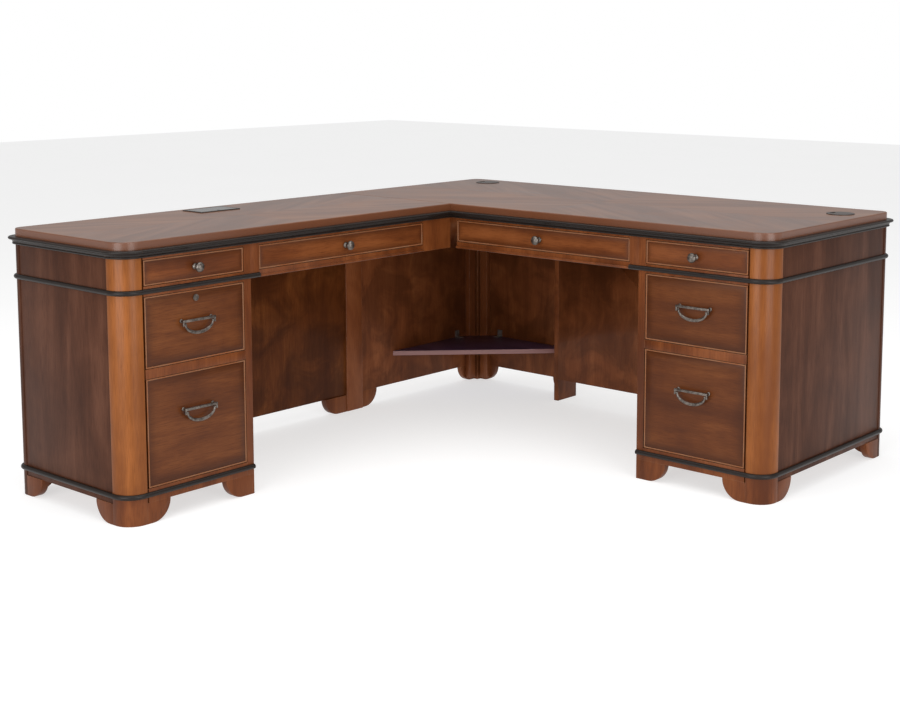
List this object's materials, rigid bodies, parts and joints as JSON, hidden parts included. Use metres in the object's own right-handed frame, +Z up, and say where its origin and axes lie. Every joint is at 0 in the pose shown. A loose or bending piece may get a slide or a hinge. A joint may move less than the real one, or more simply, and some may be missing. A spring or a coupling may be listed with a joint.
{
  "type": "corner desk",
  "caption": "L-shaped executive desk with a return, two drawer pedestals, pencil drawers, file drawers, a corner shelf, cable grommets and a flush power well.",
  "frame": {"origin": "on the floor, under the middle of the whole outline seen from above, cornice included", "axes": "+Z up; +X along the main desk from the return's side to its free end; +Y from the return's free end to the main desk's back, so the main desk's drawers face -Y and the return's drawers face +X"},
  "size_m": [1.7164, 2.0212, 0.7645],
  "materials": {
    "top_veneer": "semi-gloss, quartered veneer",
    "case_veneer": "satin, brown cherry stain",
    "front_veneer": "satin, grain along the front",
    "post_veneer": "satin, upright grain",
    "inner_veneer": "satin, dark stain",
    "black_moulding": "black satin lacquer",
    "drawer_wood": "clear satin",
    "shelf_wood": "satin, dark stain",
    "pewter": "antique pewter",
    "zinc_steel": "zinc plated",
    "brown_plastic": "brown satin",
    "grey_plastic": "grey gloss"
  },
  "bodies": {
    "frame": {"desk_top": "top_veneer", "return_top": "top_veneer", "desk_cornice": "black_moulding", "return_cornice": "black_moulding", "desk_beads": "black_moulding", "return_beads": "black_moulding", "desk_end_panel": "case_veneer", "return_end_panel": "case_veneer", "corner_posts": "post_veneer", "desk_pedestal_case": "inner_veneer", "return_pedestal_case": "inner_veneer", "desk_front_frame": "case_veneer", "return_front_frame": "case_veneer", "desk_modesty_panel": "inner_veneer", "desk_corner_back_panel": "inner_veneer", "desk_left_end_panel": "case_veneer", "return_back_panel": "case_veneer", "feet": "post_veneer", "corner_shelf": "shelf_wood", "shelf_brackets": "zinc_steel", "grommet_liners": "brown_plastic", "power_unit": "brown_plastic", "cabinet_slides": "zinc_steel", "joining_bolts": "zinc_steel"},
    "desk_pencil_drawer": {"desk_pencil_drawer_front": "front_veneer", "desk_pencil_drawer_box": "drawer_wood", "desk_pencil_drawer_knob": "pewter"},
    "desk_small_drawer": {"desk_small_drawer_front": "front_veneer", "desk_small_drawer_box": "drawer_wood", "desk_small_drawer_knob": "pewter"},
    "desk_upper_drawer": {"desk_upper_drawer_front": "front_veneer", "desk_upper_drawer_box": "drawer_wood", "desk_upper_drawer_bail_mount": "pewter", "desk_upper_drawer_runners": "zinc_steel"},
    "desk_upper_drawer_bail": {"desk_upper_drawer_bail": "pewter"},
    "desk_lower_drawer": {"desk_lower_drawer_front": "front_veneer", "desk_lower_drawer_box": "drawer_wood", "desk_lower_drawer_bail_mount": "pewter", "desk_lower_drawer_runners": "zinc_steel"},
    "desk_lower_drawer_bail": {"desk_lower_drawer_bail": "pewter"},
    "return_pencil_drawer": {"return_pencil_drawer_front": "front_veneer", "return_pencil_drawer_box": "drawer_wood", "return_pencil_drawer_knob": "pewter"},
    "return_small_drawer": {"return_small_drawer_front": "front_veneer", "return_small_drawer_box": "drawer_wood", "return_small_drawer_knob": "pewter"},
    "return_upper_drawer": {"return_upper_drawer_front": "front_veneer", "return_upper_drawer_box": "drawer_wood", "return_upper_drawer_bail_mount": "pewter", "return_upper_drawer_runners": "zinc_steel"},
    "return_upper_drawer_bail": {"return_upper_drawer_bail": "pewter"},
    "return_lower_drawer": {"return_lower_drawer_front": "front_veneer", "return_lower_drawer_box": "drawer_wood", "return_lower_drawer_bail_mount": "pewter", "return_lower_drawer_runners": "zinc_steel"},
    "return_lower_drawer_bail": {"return_lower_drawer_bail": "pewter"},
    "lock": {"lock_cylinder": "pewter"},
    "power_lid": {"power_unit_lid": "grey_plastic"},
    "far_cap": {"far_grommet_cap": "brown_plastic"},
    "near_cap": {"near_grommet_cap": "brown_plastic"}
  },
  "joints": [
    {"name": "desk_pencil_drawer_slide", "type": "slide", "parent": "frame", "child": "desk_pencil_drawer", "axis": [0, -1, 0], "range_m": [0, 0.12]},
    {"name": "desk_small_drawer_slide", "type": "slide", "parent": "frame", "child": "desk_small_drawer", "axis": [0, -1, 0], "range_m": [0, 0.4]},
    {"name": "desk_upper_drawer_slide", "type": "slide", "parent": "frame", "child": "desk_upper_drawer", "axis": [0, -1, 0], "range_m": [0, 0.4]},
    {"name": "desk_upper_drawer_bail_hinge", "type": "hinge", "parent": "desk_upper_drawer", "child": "desk_upper_drawer_bail", "pos_m": [0.5982, 0.2659, 0.5245], "axis": [-1, 0, 0], "range_deg": [0, 90]},
    {"name": "desk_lower_drawer_slide", "type": "slide", "parent": "frame", "child": "desk_lower_drawer", "axis": [0, -1, 0], "range_m": [0, 0.4]},
    {"name": "desk_lower_drawer_bail_hinge", "type": "hinge", "parent": "desk_lower_drawer", "child": "desk_lower_drawer_bail", "pos_m": [0.5982, 0.2659, 0.2825], "axis": [-1, 0, 0], "range_deg": [0, 90]},
    {"name": "return_pencil_drawer_slide", "type": "slide", "parent": "frame", "child": "return_pencil_drawer", "axis": [1, 0, 0], "range_m": [0, 0.26]},
    {"name": "return_small_drawer_slide", "type": "slide", "parent": "frame", "child": "return_small_drawer", "axis": [1, 0, 0], "range_m": [0, 0.31]},
    {"name": "return_upper_drawer_slide", "type": "slide", "parent": "frame", "child": "return_upper_drawer", "axis": [1, 0, 0], "range_m": [0, 0.31]},
    {"name": "return_upper_drawer_bail_hinge", "type": "hinge", "parent": "return_upper_drawer", "child": "return_upper_drawer_bail", "pos_m": [-0.3167, -0.7506, 0.5245], "axis": [0, -1, 0], "range_deg": [0, 90]},
    {"name": "return_lower_drawer_slide", "type": "slide", "parent": "frame", "child": "return_lower_drawer", "axis": [1, 0, 0], "range_m": [0, 0.31]},
    {"name": "return_lower_drawer_bail_hinge", "type": "hinge", "parent": "return_lower_drawer", "child": "return_lower_drawer_bail", "pos_m": [-0.3167, -0.7506, 0.2825], "axis": [0, -1, 0], "range_deg": [0, 90]},
    {"name": "lock_turn", "type": "hinge", "parent": "return_upper_drawer", "child": "lock", "pos_m": [-0.3302, -0.7506, 0.591], "axis": [1, 0, 0], "range_deg": [0, 90]},
    {"name": "power_lid_hinge", "type": "hinge", "parent": "frame", "child": "power_lid", "pos_m": [-0.7977, -0.3416, 0.7634], "axis": [0, -1, 0], "range_deg": [0, 100]},
    {"name": "far_cap_turn", "type": "hinge", "parent": "frame", "child": "far_cap", "pos_m": [-0.7002, 0.8946, 0.7625], "axis": [0, 0, 1], "continuous": true},
    {"name": "near_cap_turn", "type": "hinge", "parent": "frame", "child": "near_cap", "pos_m": [0.7522, 0.8336, 0.7625], "axis": [0, 0, 1], "continuous": true}
  ]
}
